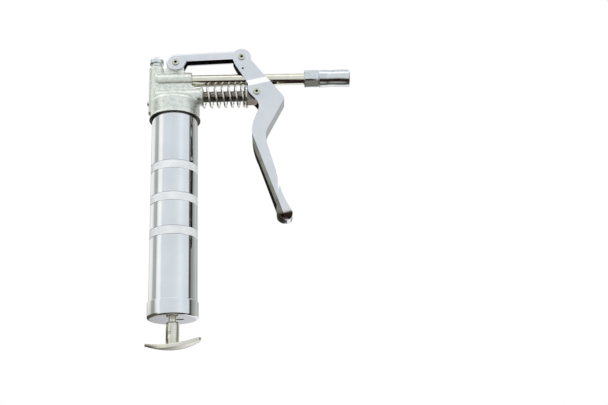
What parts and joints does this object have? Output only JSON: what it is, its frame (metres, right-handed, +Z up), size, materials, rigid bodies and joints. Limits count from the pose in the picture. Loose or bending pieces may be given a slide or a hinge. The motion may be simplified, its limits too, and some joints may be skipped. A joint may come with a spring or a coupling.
{
  "type": "grease gun",
  "caption": "Lever grease gun with a chromed barrel, pistol lever on a swinging link, sprung plunger, outlet pipe with a coupler, and a T-handle follower rod",
  "frame": {"origin": "on the barrel's axis at the middle of its bare length", "axes": "Z up along the barrel, with the head above and the T-handle below; X along the outlet pipe towards the coupler; Y across the gun"},
  "size_m": [0.1726, 0.0426, 0.2559],
  "materials": {
    "barrel_chrome": "bright chrome with knurled frosted bands",
    "cap_chrome": "bright chrome",
    "lever_chrome": "bright chrome on pressed steel",
    "link_chrome": "bright chrome on pressed steel",
    "cast_metal": "satin cast surface",
    "coupler_zinc": "bright zinc plate",
    "pipe_plating": "polished nickel plate",
    "rod_plating": "polished nickel plate",
    "plunger_steel": "ground",
    "spring_steel": "bright wire",
    "rivet_steel": "dull zinc",
    "inner_steel": "plain",
    "jaw_steel": "hardened",
    "seal_rubber": "moulded"
  },
  "bodies": {
    "gun": {"barrel_tube": "barrel_chrome", "barrel_gasket": "seal_rubber", "end_cap": "cap_chrome", "head_casting": "cast_metal", "vent_screw": "coupler_zinc", "plug_washer": "inner_steel", "check_valve_plug": "coupler_zinc", "check_spring": "spring_steel", "plunger_seal": "seal_rubber", "outlet_pipe": "pipe_plating", "coupler_nut": "coupler_zinc", "coupler_body": "coupler_zinc", "coupler_jaws": "jaw_steel", "coupler_spring": "spring_steel", "link_pivot_pin": "rivet_steel", "return_spring": "spring_steel", "follower_spring": "spring_steel"},
    "link": {"fulcrum_link": "link_chrome", "lever_pivot_rivet": "rivet_steel"},
    "lever_body": {"lever": "lever_chrome", "plunger_pin": "rivet_steel"},
    "plunger_body": {"plunger": "plunger_steel", "spring_washer": "plunger_steel"},
    "follower": {"follower_cup": "seal_rubber", "follower_plate": "inner_steel"},
    "rod": {"pull_rod": "rod_plating", "rod_nut": "inner_steel", "rod_clip": "inner_steel", "handle_sleeve": "rod_plating", "handle_pin": "rivet_steel", "t_handle": "rod_plating"},
    "valve_ball": {"check_ball": "inner_steel"},
    "coupler_valve": {"coupler_seal": "seal_rubber", "coupler_piston": "inner_steel"}
  },
  "joints": [
    {"name": "lever_pull", "type": "hinge", "parent": "link", "child": "lever_body", "pos_m": [0.0571, 0, 0.1345], "axis": [0, 1, 0], "range_deg": [0, 26]},
    {"name": "link_swing", "type": "hinge", "parent": "gun", "child": "link", "pos_m": [0.0005, 0, 0.1316], "axis": [0, 1, 0], "range_deg": [-2.6, 0]},
    {"name": "plunger_stroke", "type": "slide", "parent": "gun", "child": "plunger_body", "axis": [-1, 0, 0], "range_m": [0, 0.0155], "stiffness_N_per_m": 900, "springref_m": -0.01, "deforming": ["return_spring"]},
    {"name": "rod_pull", "type": "slide", "parent": "gun", "child": "follower", "axis": [0, 0, -1], "range_m": [0, 0.1], "stiffness_N_per_m": 120, "springref_m": -0.04, "deforming": ["follower_spring"]},
    {"name": "handle_turn", "type": "hinge", "parent": "follower", "child": "rod", "pos_m": [0, 0, -0.1], "axis": [0, 0, 1], "continuous": true},
    {"name": "ball_lift", "type": "slide", "parent": "gun", "child": "valve_ball", "axis": [0, 0, 1], "range_m": [0, 0.0015], "stiffness_N_per_m": 200, "springref_m": -0.002, "deforming": ["check_spring"]},
    {"name": "seal_press", "type": "slide", "parent": "gun", "child": "coupler_valve", "axis": [-1, 0, 0], "range_m": [0, 0.0015], "stiffness_N_per_m": 800, "springref_m": -0.002, "deforming": ["coupler_spring"]}
  ],
  "couplings": [
    {"joint": "link_swing", "follows": "lever_pull", "ratio": -0.09},
    {"joint": "plunger_stroke", "follows": "lever_pull", "m_per_rad": 0.032995}
  ]
}
